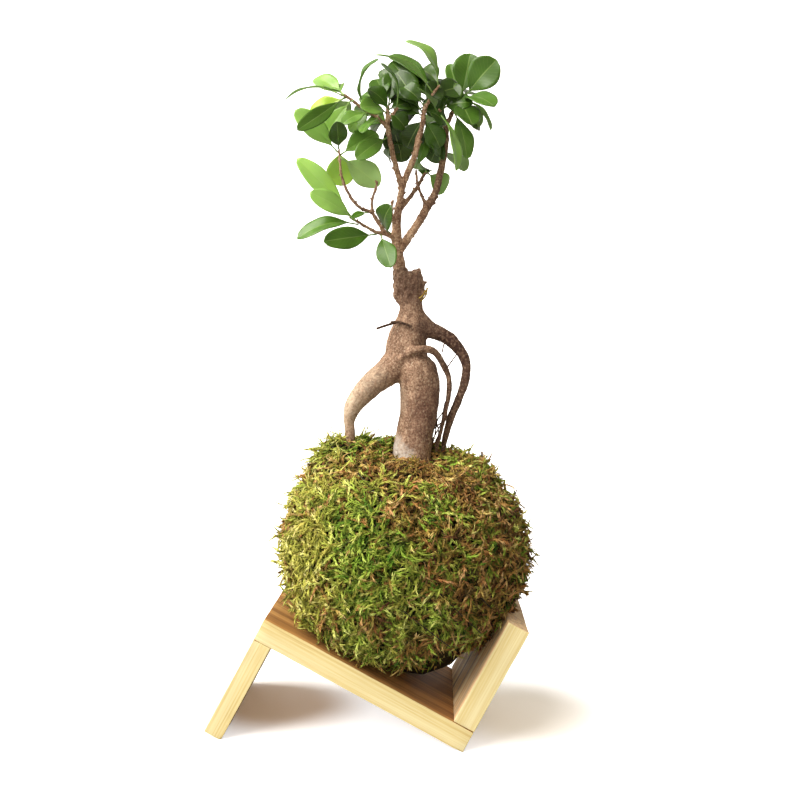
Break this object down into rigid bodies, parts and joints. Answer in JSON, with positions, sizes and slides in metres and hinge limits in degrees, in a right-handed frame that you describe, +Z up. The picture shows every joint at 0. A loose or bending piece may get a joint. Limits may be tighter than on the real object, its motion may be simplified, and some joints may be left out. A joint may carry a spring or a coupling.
{
  "type": "kokedama moss ball plant",
  "caption": "Kokedama: a grafted ginseng fig with swollen roots growing from a moss-covered ball of soil that rests in the V of a tilted wooden board stand.",
  "frame": {"origin": "centre of the object's footprint, on the surface that the stand rests on", "axes": "+X along the stand towards its stop board, +Y from the front to the back of the boards, +Z up"},
  "size_m": [0.1756, 0.1416, 0.3913],
  "materials": {
    "pine_board": "sawn pale pine, oiled, with darker faces along the grain",
    "dowel": "plain turned hardwood",
    "soil": "packed moist soil, rough",
    "moss": "feathery sheet moss, matte",
    "thread": "thin dark binding thread",
    "trunk_bark": "smooth grey-brown fig bark with fine pores",
    "twig_bark": "thin grey-brown bark with nodes",
    "fig_leaf": "glossy waxy leaf, paler underneath"
  },
  "bodies": {
    "root": {"seat_board": "pine_board", "leg_board": "pine_board", "stop_board": "pine_board", "leg_dowel_front": "dowel", "leg_dowel_back": "dowel", "stop_dowel_front": "dowel", "stop_dowel_back": "dowel", "soil_core": "soil", "moss_cover": "moss", "binding_thread": "thread", "rootstock": "trunk_bark", "grafted_stem": "twig_bark", "leaf_01": "fig_leaf", "leaf_02": "fig_leaf", "leaf_03": "fig_leaf", "leaf_04": "fig_leaf", "leaf_05": "fig_leaf", "leaf_06": "fig_leaf", "leaf_07": "fig_leaf", "leaf_08": "fig_leaf", "leaf_09": "fig_leaf", "leaf_10": "fig_leaf", "leaf_11": "fig_leaf", "leaf_12": "fig_leaf", "leaf_13": "fig_leaf", "leaf_14": "fig_leaf", "leaf_15": "fig_leaf", "leaf_16": "fig_leaf", "leaf_17": "fig_leaf", "leaf_18": "fig_leaf", "leaf_19": "fig_leaf", "leaf_20": "fig_leaf", "leaf_21": "fig_leaf", "leaf_22": "fig_leaf", "leaf_23": "fig_leaf", "leaf_24": "fig_leaf", "leaf_25": "fig_leaf", "leaf_26": "fig_leaf", "leaf_27": "fig_leaf", "leaf_28": "fig_leaf", "leaf_29": "fig_leaf", "leaf_30": "fig_leaf", "leaf_31": "fig_leaf", "leaf_32": "fig_leaf", "leaf_33": "fig_leaf", "leaf_34": "fig_leaf", "leaf_35": "fig_leaf", "leaf_36": "fig_leaf", "leaf_37": "fig_leaf", "leaf_38": "fig_leaf", "leaf_39": "fig_leaf", "leaf_40": "fig_leaf", "leaf_41": "fig_leaf", "leaf_42": "fig_leaf", "leaf_43": "fig_leaf", "leaf_44": "fig_leaf", "leaf_45": "fig_leaf", "leaf_46": "fig_leaf", "leaf_47": "fig_leaf", "leaf_48": "fig_leaf"}
  },
  "joints": []
}
